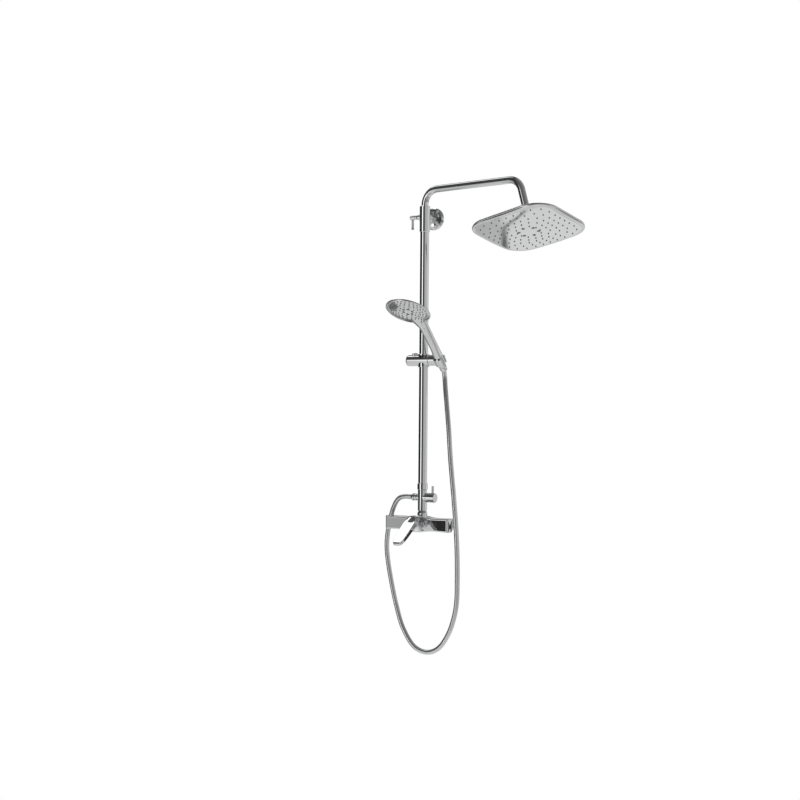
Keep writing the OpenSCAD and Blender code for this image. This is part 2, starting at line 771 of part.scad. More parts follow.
wall_base();
wall_rosette();
bracket_arm();
bracket_sleeve();
bracket_screw();
riser_tube();
riser_collar();
diverter_body();
column_nut();
outlet_nipple();
mixer_body();
union_nuts();
inlet_washers();
non_return_valves();
cartridge();
cartridge_nut();
trim_ring();
hose_nut_lower();
hose_left();
hose_right();
diverter_knob();
diverter_pin();
diverter_spindle();
lock_knob();
lock_pin();
guide_bush();
arm_seals();
shower_arm();
ball_stem();
seat_ring();
ball_nut();
head_shell();
head_face();
head_nozzles();
slider_bush();
slider_body();
slider_cap();
brake_pad();
release_button();
button_spring();
hose_bush();
hose_slider();
holder_socket();
holder_spindle();
hose_holder();
handset_shell();
handset_connector();
hose_nut_upper();
hose_handset();
handset_face();
handset_nozzles();
face_spindle();
cartridge_rotor();
rotor_pin();
lever_stem();
lever_cap();
lever_handle();
lever_screw();
index_plug();
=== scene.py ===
"""Look of the wall-mounted shower column: camera, hose, polished pieces, materials, studio."""
import json
import math

import bpy
import numpy as np
from mathutils import Matrix, Vector


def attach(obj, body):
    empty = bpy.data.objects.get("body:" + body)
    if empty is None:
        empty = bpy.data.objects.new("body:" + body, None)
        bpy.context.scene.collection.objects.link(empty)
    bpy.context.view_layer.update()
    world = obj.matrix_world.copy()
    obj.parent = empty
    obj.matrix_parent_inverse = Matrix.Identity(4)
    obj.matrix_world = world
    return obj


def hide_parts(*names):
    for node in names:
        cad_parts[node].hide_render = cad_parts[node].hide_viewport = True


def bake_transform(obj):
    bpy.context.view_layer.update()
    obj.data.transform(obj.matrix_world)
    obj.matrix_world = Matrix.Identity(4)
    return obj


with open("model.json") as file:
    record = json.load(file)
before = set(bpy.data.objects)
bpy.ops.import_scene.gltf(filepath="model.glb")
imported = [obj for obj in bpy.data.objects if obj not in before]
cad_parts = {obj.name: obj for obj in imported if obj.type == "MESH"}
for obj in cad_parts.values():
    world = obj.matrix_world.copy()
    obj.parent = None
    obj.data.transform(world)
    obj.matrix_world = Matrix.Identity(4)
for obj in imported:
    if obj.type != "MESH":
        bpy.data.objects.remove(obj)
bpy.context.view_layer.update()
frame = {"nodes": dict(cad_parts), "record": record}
NODES = frame["nodes"]
RECORD = frame["record"]
SLOT = {s["node"]: s["material_slot"] for s in RECORD["subparts"]}
scene = bpy.context.scene


# ---- geometry helpers (millimetres in, metres out) -----------------------------------

def rx(a): return Matrix.Rotation(math.radians(a), 4, "X")
def ry(a): return Matrix.Rotation(math.radians(a), 4, "Y")
def rz(a): return Matrix.Rotation(math.radians(a), 4, "Z")
def tr(x, y, z): return Matrix.Translation((x, y, z))


RISER = tr(0, -52, 0)
ARM = RISER @ rz(-6.3)
CORNER = ARM @ tr(300.5, 0, 900) @ ry(164)
BALL = CORNER @ tr(0, 0, 100)
HEAD = BALL @ ry(-164) @ ry(-11.6) @ rx(-11.3) @ tr(0, 0, -35.5)
FACE = tr(51, -217, 561) @ rx(-26)
HUB = tr(0, -59, 0) @ rx(84)
LEVER = tr(0, -110, 15.5) @ rz(-90) @ ry(36.7)
AXIS_X = ry(90)
AXIS_MINUS_X = ry(-90)
AXIS_MINUS_Y = rx(90)


def mesh_piece(name, points, faces, matrix=None, angle=40):
    """A mesh object from millimetre points, moved by matrix, smooth below the given angle."""
    matrix = matrix or Matrix.Identity(4)
    co = np.array(points, float)
    m = np.array(matrix, float)
    co = (co @ m[:3, :3].T + m[:3, 3]) / 1000.0
    mesh = bpy.data.meshes.new(name)
    mesh.from_pydata([tuple(p) for p in co], [], [tuple(f) for f in faces])
    mesh.validate()
    mesh.update()
    for poly in mesh.polygons:
        poly.use_smooth = True
    mesh.set_sharp_from_angle(angle=math.radians(angle))
    obj = bpy.data.objects.new(name, mesh)
    scene.collection.objects.link(obj)
    return obj


def ring_faces(rings, sides, closed_loop=False):
    """Quads between consecutive rings of equal size."""
    faces = []
    last = rings if closed_loop else rings - 1
    for i in range(last):
        a, b = i * sides, ((i + 1) % rings) * sides
        for k in range(sides):
            n = (k + 1) % sides
            faces.append((a + k, a + n, b + n, b + k))
    return faces


def outward(points, faces):
    """Turns the faces round if the closed surface encloses a negative volume."""
    p = np.array(points, float)
    vol = 0.0
    for f in faces:
        for i in range(1, len(f) - 1):
            vol += np.dot(p[f[0]], np.cross(p[f[i]], p[f[i + 1]]))
    return faces if vol > 0 else [tuple(reversed(f)) for f in faces]


def joined(parts):
    """Several (points, faces) closed shells as one."""
    points, faces = [], []
    for pts, fcs in parts:
        base = len(points)
        points += [tuple(p) for p in pts]
        faces += [tuple(i + base for i in f) for f in fcs]
    return points, faces


def lathe(profile, sides=96, flute=None):
    """A closed solid turned round Z from (r, z) pairs. r = 0 ends the surface on the axis.
    flute(a, r, z) changes the radius at an angle."""
    points, faces = [], []
    rows = []
    for r, z in profile:
        if r < 1e-6:
            rows.append([len(points)])
            points.append((0, 0, z))
            continue
        row = []
        for k in range(sides):
            a = 2 * math.pi * k / sides
            q = flute(a, r, z) if flute else r
            row.append(len(points))
            points.append((q * math.cos(a), q * math.sin(a), z))
        rows.append(row)
    closed = all(len(r) > 1 for r in rows)
    n = len(rows)
    for i in range(n if closed else n - 1):
        a, b = rows[i], rows[(i + 1) % n]
        for k in range(sides):
            m = (k + 1) % sides
            if len(a) == 1 and len(b) == 1:
                continue
            if len(a) == 1:
                faces.append((a[0], b[m], b[k]))
            elif len(b) == 1:
                faces.append((a[k], a[m], b[0]))
            else:
                faces.append((a[k], a[m], b[m], b[k]))
    return points, outward(points, faces)


def loft(sections):
    """A closed solid through rings of equal size, with flat ends fanned from their centres."""
    sides = len(sections[0])
    points = [tuple(p) for s in sections for p in s]
    faces = ring_faces(len(sections), sides)
    for row, flip in ((0, True), (len(sections) - 1, False)):
        centre = len(points)
        points.append(tuple(np.mean(np.array(sections[row], float), axis=0)))
        for k in range(sides):
            a, b = row * sides + k, row * sides + (k + 1) % sides
            faces.append((centre, b, a) if flip else (centre, a, b))
    return points, outward(points, faces)


def soft_corner(profile, r=0.6, steps=3):
    """Rounds the corners of an open (r, z) profile."""
    out = [profile[0]]
    for i in range(1, len(profile) - 1):
        p, c, n = (np.array(profile[j], float) for j in (i - 1, i, i + 1))
        a, b = p - c, n - c
        la, lb = np.linalg.norm(a), np.linalg.norm(b)
        if la < 1e-6 or lb < 1e-6:
            out.append(profile[i])
            continue
        d = min(r, la * 0.45, lb * 0.45)
        s, e = c + a / la * d, c + b / lb * d
        for t in np.linspace(0, 1, steps + 1):
            out.append(tuple((1 - t) ** 2 * s + 2 * t * (1 - t) * c + t * t * e))
    out.append(profile[-1])
    return out


def catmull(points, per):
    """A smooth curve through the points, per steps between each two."""
    p = [np.array(q, float) for q in points]
    out = []
    for i in range(len(p) - 1):
        a, b, c, d = p[max(i - 1, 0)], p[i], p[i + 1], p[min(i + 2, len(p) - 1)]
        for k in range(per):
            t = k / per
            out.append(0.5 * (2 * b + (c - a) * t + (2 * a - 5 * b + 4 * c - d) * t * t
                              + (3 * b - a - 3 * c + d) * t ** 3))
    out.append(p[-1])
    return np.array(out)


# ---- camera --------------------------------------------------------------------------

cam_data = bpy.data.cameras.new("camera")
cam_data.sensor_width = 36
cam_data.lens = 55.78
cam_data.clip_end = 40
cam = bpy.data.objects.new("camera", cam_data)
azimuth, roll = math.radians(32), 0.0085
right = Vector((math.cos(azimuth), math.sin(azimuth), 0))
back = Vector((math.sin(azimuth), -math.cos(azimuth), 0))
up = Vector((0, 0, 1))
r2 = right * math.cos(roll) + up * math.sin(roll)
u2 = up * math.cos(roll) - right * math.sin(roll)
cam.matrix_world = Matrix.LocRotScale(
    Vector((1.7218, -2.9264, 0.3329)), Matrix((r2, u2, back)).transposed(), None)
scene.collection.objects.link(cam)
scene.camera = cam

# ---- materials -----------------------------------------------------------------------


def node_tree(name):
    mat = bpy.data.materials.new(name)
    mat.use_nodes = True
    nt = mat.node_tree
    return mat, nt, nt.nodes["Principled BSDF"], nt.links


def finish_material(name, base, tint, metallic, rough, rough_span, scale, bump, fine=900.0,
                    stretch=(1, 1, 1), bevel=0.0, spec=0.5):
    """A procedural finish: uneven tone, uneven gloss and a fine surface relief."""
    mat, nt, bsdf, link = node_tree(name)
    new = nt.nodes.new
    coord = new("ShaderNodeTexCoord")
    mapping = new("ShaderNodeMapping")
    mapping.inputs["Scale"].default_value = stretch
    link.new(coord.outputs["Object"], mapping.inputs["Vector"])
    broad = new("ShaderNodeTexNoise")
    broad.inputs["Scale"].default_value = scale
    broad.inputs["Detail"].default_value = 4
    link.new(mapping.outputs["Vector"], broad.inputs["Vector"])
    grain = new("ShaderNodeTexNoise")
    grain.inputs["Scale"].default_value = fine
    grain.inputs["Detail"].default_value = 3
    link.new(mapping.outputs["Vector"], grain.inputs["Vector"])
    tone = new("ShaderNodeMix")
    tone.data_type = "RGBA"
    link.new(broad.outputs["Fac"], tone.inputs["Factor"])
    tone.inputs["A"].default_value = (*base, 1)
    tone.inputs["B"].default_value = (*tint, 1)
    link.new(tone.outputs["Result"], bsdf.inputs["Base Color"])
    gloss = new("ShaderNodeMapRange")
    gloss.inputs["From Min"].default_value = 0.3
    gloss.inputs["From Max"].default_value = 0.7
    gloss.inputs["To Min"].default_value = rough
    gloss.inputs["To Max"].default_value = rough + rough_span
    link.new(broad.outputs["Fac"], gloss.inputs["Value"])
    link.new(gloss.outputs["Result"], bsdf.inputs["Roughness"])
    bsdf.inputs["Metallic"].default_value = metallic
    bsdf.inputs["Specular IOR Level"].default_value = spec
    relief = new("ShaderNodeBump")
    relief.inputs["Strength"].default_value = bump
    relief.inputs["Distance"].default_value = 0.0002
    link.new(grain.outputs["Fac"], relief.inputs["Height"])
    if bevel:
        edge = new("ShaderNodeBevel")
        edge.samples = 4
        edge.inputs["Radius"].default_value = bevel
        link.new(edge.outputs["Normal"], relief.inputs["Normal"])
    link.new(relief.outputs["Normal"], bsdf.inputs["Normal"])
    return mat


MAT = {
    "chrome_brass": finish_material("polished_chrome", (0.9, 0.905, 0.91), (0.86, 0.865, 0.875), 1,
                                    0.02, 0.03, 24, 0.006),
    "chrome_zinc": finish_material("cast_chrome", (0.89, 0.895, 0.9), (0.84, 0.845, 0.86), 1,
                                   0.03, 0.04, 18, 0.008),
    "chromed_plastic": finish_material("chromed_plastic", (0.88, 0.885, 0.89), (0.83, 0.835, 0.845),
                                       1, 0.035, 0.045, 14, 0.01),
    "spray_plate": finish_material("spray_plate", (0.83, 0.835, 0.84), (0.79, 0.795, 0.8), 1,
                                   0.05, 0.04, 10, 0.008),
    "brass": finish_material("turned_brass", (0.8, 0.62, 0.3), (0.7, 0.52, 0.24), 1, 0.22, 0.12, 60,
                             0.12, bevel=0.0002),
    "steel_screw": finish_material("screw_steel", (0.5, 0.5, 0.52), (0.4, 0.4, 0.42), 1, 0.28, 0.12,
                                   80, 0.1, bevel=0.0002),
    "steel_base": finish_material("brushed_steel", (0.62, 0.63, 0.65), (0.55, 0.56, 0.58), 1, 0.24,
                                  0.12, 40, 0.15, stretch=(1, 1, 14), bevel=0.0003),
    "nozzle_rubber": finish_material("nozzle_rubber", (0.3, 0.305, 0.31), (0.23, 0.235, 0.24), 0,
                                     0.5, 0.15, 300, 0.3, spec=0.4),
    "seal_rubber": finish_material("seal_rubber", (0.02, 0.02, 0.02), (0.035, 0.035, 0.035), 0, 0.55,
                                   0.15, 200, 0.4),
    "dark_plastic": finish_material("moulded_dark_plastic", (0.05, 0.05, 0.055), (0.035, 0.035, 0.04),
                                    0, 0.38, 0.12, 60, 0.35, bevel=0.0003),
    "white_plastic": finish_material("moulded_white_plastic", (0.82, 0.82, 0.8), (0.75, 0.75, 0.73),
                                     0, 0.36, 0.1, 60, 0.3, bevel=0.0003),
    "hose_skin": finish_material("hose_skin", (0.88, 0.885, 0.89), (0.83, 0.835, 0.84), 0.85, 0.17,
                                 0.06, 120, 0.03),
}
# jet_shadow is painted shade: a near-black finish for the jet cups that stands in for the shade inside
# each jet opening.
PAINTED_JET_SHADE = finish_material("jet_shadow", (0.05, 0.05, 0.055), (0.08, 0.08, 0.085), 0.2, 0.3, 0.1, 200, 0.1)


def dress(obj, key, mat=None):
    obj.data.materials.clear()
    obj.data.materials.append(mat or MAT[key])
    return obj


for node_name, node_obj in NODES.items():
    node_obj.data.materials.clear()
    node_obj.data.materials.append(MAT[SLOT[node_name]])
    for poly in node_obj.data.polygons:
        poly.use_smooth = True
    node_obj.data.set_sharp_from_angle(angle=math.radians(26))

# ---- hose ----------------------------------------------------------------------------

HOSE_D = 13.0
HOSE_SIDES = 20
RING_STEP = 0.62
RIB_PITCH = 3.1
RIB_DEPTH = 0.2
RIB_HALF = 0.15
SWEEP_REFERENCE = np.array([0.17, 0.98, 0.05])
ROUTE = [(-28.6, -52, 70), (-58, -52, 70), (-78, -50, 62), (-94, -46, 41), (-106, -42, 14),
         (-115, -42, -24), (-118, -44, -66), (-112, -46, -112), (-98, -48, -172), (-82, -48, -232),
         (-60, -50, -288), (-24, -52, -334), (18, -53, -346), (56, -54, -330), (86, -56, -290),
         (104, -58, -244), (114, -62, -200), (117.5, -66, -140), (117.5, -68, -73), (114, -69, -2),
         (107, -68, 66), (104, -67, 90), (91.5, -61, 174), (81, -54, 256), (64.5, -40, 338),
         (57, -32, 367), (50.8, -25.5, 397), (51, -31.2, 416.9)]
PER = 60
LINE = catmull(ROUTE, PER)


def hose_piece(name, first, last):
    """The stretch of hose between two route points, with its spiral ribs."""
    pts = LINE[first * PER:last * PER + 1]
    steps = np.linalg.norm(np.diff(pts, axis=0), axis=1)
    along = np.concatenate([[0], np.cumsum(steps)])
    total = along[-1]
    whole = np.linalg.norm(np.diff(LINE[:first * PER + 1], axis=0), axis=1).sum() if first else 0
    rings = max(int(total / RING_STEP), 8)
    s = np.linspace(0, total, rings)
    centre = np.stack([np.interp(s, along, pts[:, i]) for i in range(3)], axis=1)
    tangent = np.gradient(centre, axis=0)
    tangent /= np.linalg.norm(tangent, axis=1)[:, None]
    rows = []
    for i in range(rings):
        side = np.cross(tangent[i], SWEEP_REFERENCE)
        side /= np.linalg.norm(side)
        top = np.cross(side, tangent[i])
        row = []
        for k in range(HOSE_SIDES):
            a = 2 * math.pi * k / HOSE_SIDES
            phase = ((whole + s[i]) / RIB_PITCH + a / (2 * math.pi)) % 1.0
            groove = max(0.0, 1 - abs(phase - 0.5) / RIB_HALF)
            r = HOSE_D / 2 - RIB_DEPTH * groove * groove * (3 - 2 * groove)
            row.append(centre[i] + r * (math.cos(a) * side + math.sin(a) * top))
        rows.append(row)
    points, faces = loft(rows)
    obj = mesh_piece(name, points, faces, angle=60)
    dress(obj, "hose_skin")
    path = [tuple(float(v) / 1000 for v in p) for p in centre[::4]] + [
        tuple(float(v) / 1000 for v in centre[-1])]
    return obj, path, total / 1000


hose_left, path_a, len_a = hose_piece("hose_left_ribbed", 0, 12)
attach(hose_left, "column")
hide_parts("hose_left")
hose_right, path_b, len_b = hose_piece("hose_right_ribbed", 12, 21)
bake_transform(hose_right)
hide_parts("hose_right")
hose_bush, path_c, len_c = hose_piece("hose_bush_ribbed", 21, 22)
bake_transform(hose_bush)
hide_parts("hose_bush")
hose_slider, path_d, len_d = hose_piece("hose_slider_ribbed", 22, 23)
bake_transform(hose_slider)
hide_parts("hose_slider")
hose_holder, path_e, len_e = hose_piece("hose_holder_ribbed", 23, 24)
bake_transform(hose_holder)
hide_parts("hose_holder")
hose_handset, path_f, len_f = hose_piece("hose_handset_ribbed", 24, 27)
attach(hose_handset, "handset")
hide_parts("hose_handset")

# ---- rain head -----------------------------------------------------------------------

AROUND = 176


def square_radius(a, half, r):
    """Distance from the centre to a round-cornered square's edge in direction a."""
    c, s = abs(math.cos(a)), abs(math.sin(a))
    flat = half - r
    if c > 1e-9 and half * s / c <= flat:
        return half / c
    if s > 1e-9 and half * c / s <= flat:
        return half / s
    k = flat * (c + s)
    return k + math.sqrt(max(k * k - 2 * flat * flat + r * r, 0))


def square_ring(half, z, corner=None, roundness=0.0):
    """A ring of points; roundness 1 makes it a circle. z may depend on the distance."""
    corner = max(min(58 - (121 - half), half), 0.05) if corner is None else corner
    row = []
    for k in range(AROUND):
        a = 2 * math.pi * (k + 0.5) / AROUND
        d = (1 - roundness) * square_radius(a, half, corner) + roundness * half
        row.append((d * math.cos(a), d * math.sin(a), z(d) if callable(z) else z))
    return row


def closed_rings(rows):
    points = [p for row in rows for p in row]
    faces = ring_faces(len(rows), AROUND, closed_loop=True)
    return points, outward(points, faces)


outer = [(118.9, 0.2), (120.2, 0.0), (121, 0.7), (121, 2.6), (120.6, 3.8), (119.4, 4.8), (117, 5.6),
         (112, 6.6), (104, 8.1), (91, 10.2), (78, 12.2), (64, 14.3), (50, 16.5), (38, 18.6),
         (29, 20.2), (25, 20.9), (22, 21.2), (16.4, 21.3), (16.2, 20.6)]
inner = [(16.2, 18.0), (30, 17.0), (60, 12.4), (91, 7.8), (110, 4.6), (118.4, 3.3), (118.7, 1.0)]
rows = []
for half, z in outer + inner:
    rows.append(square_ring(half, z, corner=max(58 - (121 - half), 0.55 * half),
                            roundness=min(max((95 - half) / 70, 0), 1)))
head_skin = mesh_piece("head_shell_skin", *closed_rings(rows), HEAD, angle=50)
dress(head_skin, "chromed_plastic")
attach(head_skin, "rain_head")
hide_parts("head_shell")


def dome(d):
    return -9.6 + 0.0004 * d * d


rows = []
for f in np.linspace(0.03, 0.93, 34):
    half = 118.2 * f
    rows.append(square_ring(half, dome, corner=half * (1 - 0.54 * min(f * 1.25, 1)),
                            roundness=max(0, 1 - f * 2.2)))
for half, dz in ((111.0, 0.02), (111.6, 0.5), (112.4, 0.55), (113.0, 0.05), (116.6, 0.12),
                 (117.8, 0.6), (118.2, 1.4)):
    rows.append(square_ring(half, lambda d, dz=dz: dome(d) + dz, corner=half - 63))
rows.append(square_ring(118.2, 1.9, corner=55.2))
rows.append(square_ring(117.6, 2.5, corner=54.6))
plate = mesh_piece("head_spray_plate", *loft(rows), HEAD, angle=45)
dress(plate, "spray_plate")
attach(plate, "rain_head")
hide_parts("head_face")


def nozzle(x, y, z, size):
    """One soft nozzle that points down from z."""
    profile = [(0, 0.5), (2.15, 0.5), (2.15, -0.15), (1.7, -0.65), (1.35, -1.9), (1.1, -2.15),
               (0.6, -2.1), (0.5, -1.5), (0, -1.4)]
    pts, fcs = lathe([(r * size, q * size) for r, q in profile], sides=14)
    return [(x + p[0], y + p[1], z + p[2]) for p in pts], fcs


def reach_at(a, half):
    return half / (abs(math.cos(a)) ** 5 + abs(math.sin(a)) ** 5) ** 0.2


shells = []
for half, count in ((28, 10), (46, 16), (64, 22), (82, 26), (100, 30)):
    for k in range(count):
        a = 2 * math.pi * (k + 0.5) / count
        d = reach_at(a, half)
        shells.append(nozzle(d * math.cos(a), d * math.sin(a), dome(d), 0.95))
field = mesh_piece("head_nozzle_field", *joined(shells), HEAD, angle=50)
dress(field, "nozzle_rubber")
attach(field, "rain_head")
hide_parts("head_nozzles")


def oval_jet(cx, cy, z, length, width, angle):
    """A raised rim and a dark cup that face down, as two closed shells; the dark cup is painted shade
    inside the jet.
    """
    ca, sa = math.cos(angle), math.sin(angle)

    def place(pts):
        out = []
        for p in pts:
            x, y = p[0] * length, p[1] * width
            out.append((cx + x * ca - y * sa, cy + x * sa + y * ca, z - p[2]))
        return out

    pts, fcs = lathe([(0.98, -0.5), (0.98, 0.3), (1.02, 0.5), (1.08, 0.5), (1.14, 0.2),
                      (1.16, -0.5)], sides=28)
    ring = (place(pts), [tuple(reversed(f)) for f in fcs])
    pts, fcs = lathe([(0, -0.5), (0.96, -0.5), (0.96, 0.2), (0.8, 0.34), (0.3, 0.12), (0, 0.1)],
                     sides=28)
    cup = (place(pts), [tuple(reversed(f)) for f in fcs])
    return ring, cup


JETS = 6
HEAD_JET_RING = 25
rims, cups = [], []
for k in range(JETS):
    a = 2 * math.pi * (k + 0.5) / JETS
    ring, cup = oval_jet(HEAD_JET_RING * math.cos(a), HEAD_JET_RING * math.sin(a),
                         dome(HEAD_JET_RING), 4.6, 4.2, a)
    rims.append(ring)
    cups.append(cup)
rim_piece = mesh_piece("head_jet_rims", *joined(rims), HEAD)
dress(rim_piece, "chromed_plastic")
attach(rim_piece, "rain_head")
cup_piece = mesh_piece("head_jet_cups", *joined(cups), HEAD)
# The cups carry the painted jet shade; the dark_plastic key is not read when a material is given.
dress(cup_piece, "dark_plastic", PAINTED_JET_SHADE)
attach(cup_piece, "rain_head")

# ---- handset -------------------------------------------------------------------------

bowl_profile = [(56.1, 3.0), (56.2, -1.2), (56.8, -2.1), (58.0, -2.2), (58.9, -1.5), (59.4, -0.3),
                (59.5, 0.8), (59.0, 2.0), (56.5, 3.4), (52, 5.0), (46, 7.3), (39.5, 9.7),
                (32, 12.1), (24, 14.2), (12, 16.2), (5, 16.75), (0, 16.85)]
bowl = mesh_piece("handset_back", *lathe([(0, 3.0)] + bowl_profile, sides=128), FACE, angle=50)
dress(bowl, "chromed_plastic")
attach(bowl, "handset")
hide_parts("handset_shell")

lean = math.radians(42)
stations = [(-52 - math.sin(lean) * d, 440 + math.cos(lean) * d, w, t) for d, w, t in
            ((-21, 10.2, 10.2), (-19.5, 10.9, 10.9), (-8, 11.5, 11.5), (8, 12.2, 12.2),
             (19, 12.5, 12.4))]
stations += [(-71, 461, 11.9, 11.7), (-83, 474, 11.2, 10.8), (-99.5, 490.5, 11.2, 10.6),
             (-118.5, 508.5, 11.4, 10.8), (-138, 526, 12.4, 10.8), (-152.5, 533.5, 14.5, 9.4),
             (-166.5, 540, 18, 7), (-183, 549, 21, 4.4)]
smooth = catmull(stations, 7)
rows = []
for i, st in enumerate(smooth):
    a, b = smooth[max(i - 1, 0)], smooth[min(i + 1, len(smooth) - 1)]
    t = np.array([0, b[0] - a[0], b[1] - a[1]])
    t /= np.linalg.norm(t)
    top = np.cross(t, [1, 0, 0])
    square = 2.0 + 0.5 * min(max((i - 14) / 30, 0), 1)
    row = []
    for k in range(56):
        q = 2 * math.pi * k / 56
        c, s = math.cos(q), math.sin(q)
        e = 2 / square
        u = math.copysign(abs(c) ** e, c) * st[2]
        v = math.copysign(abs(s) ** e, s) * st[3]
        row.append(tuple(np.array([51, st[0], st[1]]) + u * np.array([1, 0, 0]) + v * top))
    rows.append(row)
handle = mesh_piece("handset_handle", *loft(rows), angle=55)
dress(handle, "chromed_plastic")
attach(handle, "handset")

face_profile = [(0, 2.6), (55.2, 2.6), (55.5, 2.3), (55.5, 1.9), (54.9, 1.6), (53.6, 1.3),
                (52.6, 1.2), (52.2, 1.7), (51.6, 1.7), (51.2, 0.9), (46, -0.1), (38, -0.9),
                (30, -1.45), (29.4, -1.0), (28.8, -1.0), (28.2, -1.55), (16, -1.8), (8, -1.88),
                (0, -1.9)]
dial = mesh_piece("handset_spray_plate", *lathe(face_profile, sides=128), FACE, angle=40)
dress(dial, "spray_plate")
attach(dial, "spray_face")
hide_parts("handset_face")


def face_z_at(d):
    return float(np.interp(d, [0, 8, 16, 30, 38, 46, 51, 55], [-1.9, -1.88, -1.8, -1.45, -0.9, -0.1,
                                                               0.8, 1.6]))


shells = []
for radius, count in ((22, 10), (33, 16), (40, 22), (48, 28)):
    for k in range(count):
        a = 2 * math.pi * (k + 0.5 * (count % 3)) / count
        shells.append(nozzle(radius * math.cos(a), radius * math.sin(a), face_z_at(radius), 0.78))
nozzles = mesh_piece("handset_nozzle_field", *joined(shells), FACE, angle=50)
dress(nozzles, "nozzle_rubber")
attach(nozzles, "spray_face")
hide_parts("handset_nozzles")
FACE_JET_RING = 13
rims, cups = [], []
for k in range(JETS):
    a = 2 * math.pi * k / JETS
    ring, cup = oval_jet(FACE_JET_RING * math.cos(a), FACE_JET_RING * math.sin(a), -1.8, 4.4, 3.0,
                         a + math.pi / 2)
    rims.append(ring)
    cups.append(cup)
dial_rims = mesh_piece("handset_jet_rims", *joined(rims), FACE)
dress(dial_rims, "chromed_plastic")
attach(dial_rims, "spray_face")
dial_cups = mesh_piece("handset_jet_cups", *joined(cups), FACE)
# The cups carry the painted jet shade; the dark_plastic key is not read when a material is given.
dress(dial_cups, "dark_plastic", PAINTED_JET_SHADE)
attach(dial_cups, "spray_face")

# ---- mixer ---------------------------------------------------------------------------

HALF, SHIFT, FRONT, BACK = 98.0, -4.0, -79.0, -42.0


def half_height(x):
    d = abs(x)
    if d < 52:
        return 19.6 + 2.6 * math.cos(math.pi * d / 52)
    return 17 + 1.4 * ((d - 52) / (HALF - 52)) ** 2


def rounded(yf, yb, h, r):
    """A rounded rectangle in (y, z), as a ring of points."""
    corners = ((yb - r, h - r, 0), (yf + r, h - r, 90), (yf + r, -h + r, 180), (yb - r, -h + r, 270))
    pts = []
    for cy, cz, start in corners:
        for k in range(7):
            a = math.radians(start + 15 * k)
            pts.append((cy + r * math.cos(a), cz + r * math.sin(a)))
    out = []
    for i in range(len(pts)):
        p, q = np.array(pts[i]), np.array(pts[(i + 1) % len(pts)])
        out.append(tuple(p))
        if i % 7 == 6:
            for t in (0.015, 0.34, 0.66, 0.985):
                out.append(tuple(p + (q - p) * t))
    return out


CORNER_R = 5.0
xs = [HALF - 0.0, HALF - 0.35, HALF - 0.9, HALF - 2.2, HALF - 3.6, HALF - 4.9]
xs += [HALF - 17 + 17 * math.sin(math.radians(a)) for a in (75, 68, 60, 52, 44, 36, 27, 18, 9, 0)]
xs += list(np.linspace(HALF - 17, 0, 22))[1:]
xs = sorted(set([round(-x, 4) for x in xs] + [round(x, 4) for x in xs]))
rows = []
for x in xs:
    d = abs(x)
    inset = max(0, 1.4 - (HALF - d) * 1.6) if HALF - d < 0.9 else 0
    bend_in = max(d - (HALF - CORNER_R), 0)
    yf = FRONT + (CORNER_R - math.sqrt(max(CORNER_R ** 2 - bend_in ** 2, 0)))
    yb = BACK - (17 - math.sqrt(max(289 - max(d - (HALF - 17), 0) ** 2, 0)))
    h = half_height(d) - inset
    rows.append([(x + SHIFT, y, z) for y, z in rounded(yf, yb, h, min(3.2, (yb - yf) / 2.3))])
body = mesh_piece("mixer_body_skin", *loft(rows), angle=38)
dress(body, "chrome_brass")
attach(body, "column")
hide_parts("mixer_body")
hub = soft_corner([(0, 4), (21, 4), (21, 20.2), (20.2, 21), (17.6, 21), (17.6, 12), (0, 12)], 0.5)
hub_skin = mesh_piece("mixer_hub", *lathe(hub, sides=96), HUB)
dress(hub_skin, "chrome_brass")
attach(hub_skin, "column")
neck = mesh_piece("mixer_neck", *lathe([(0, 10), (9.85, 10), (9.85, 28), (6.5, 28), (6.5, 20), (0, 20)],
                                       sides=64), RISER)
dress(neck, "chrome_brass")
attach(neck, "column")
for side, x in (("left", -75), ("right", 75)):
    tail = lathe(soft_corner([(0, 12.4), (7, 12.4), (11.6, 12.4), (11.6, 14.8), (9.2, 14.8),
                              (9.2, 23), (0, 23)], 0.3), sides=64)
    piece = mesh_piece("inlet_tail_" + side, *tail, tr(x, -22, 0) @ AXIS_MINUS_Y)
    dress(piece, "chrome_brass")
    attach(piece, "column")

# ---- lever ---------------------------------------------------------------------------

cap = soft_corner([(0, 42.9), (8, 41.7), (13, 37.3), (16.0, 33.0), (16.7, 31.6), (19.0, 31.6),
                   (19.6, 32.4), (19.6, 48.2), (18.6, 50.2), (16, 51.2), (0, 51.4)], 0.6)
cap_skin = mesh_piece("lever_cap_skin", *lathe(cap, sides=112), HUB, angle=50)
dress(cap_skin, "chrome_zinc")
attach(cap_skin, "lever")
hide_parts("lever_cap")


def paddle_ring(x, width, low, high, crown, r=1.5):
    """A round-cornered slice of the paddle at x, with a gently crowned upper face."""
    r = min(r, width / 2.2, (high - low) / 2.2)
    row = []
    for v, w in rounded(-width / 2, width / 2, (high - low) / 2, r):
        lift_up = crown * (1 - (2 * v / width) ** 2) if w > 0 else 0
        row.append((x, v, w + (high + low) / 2 + lift_up))
    return row


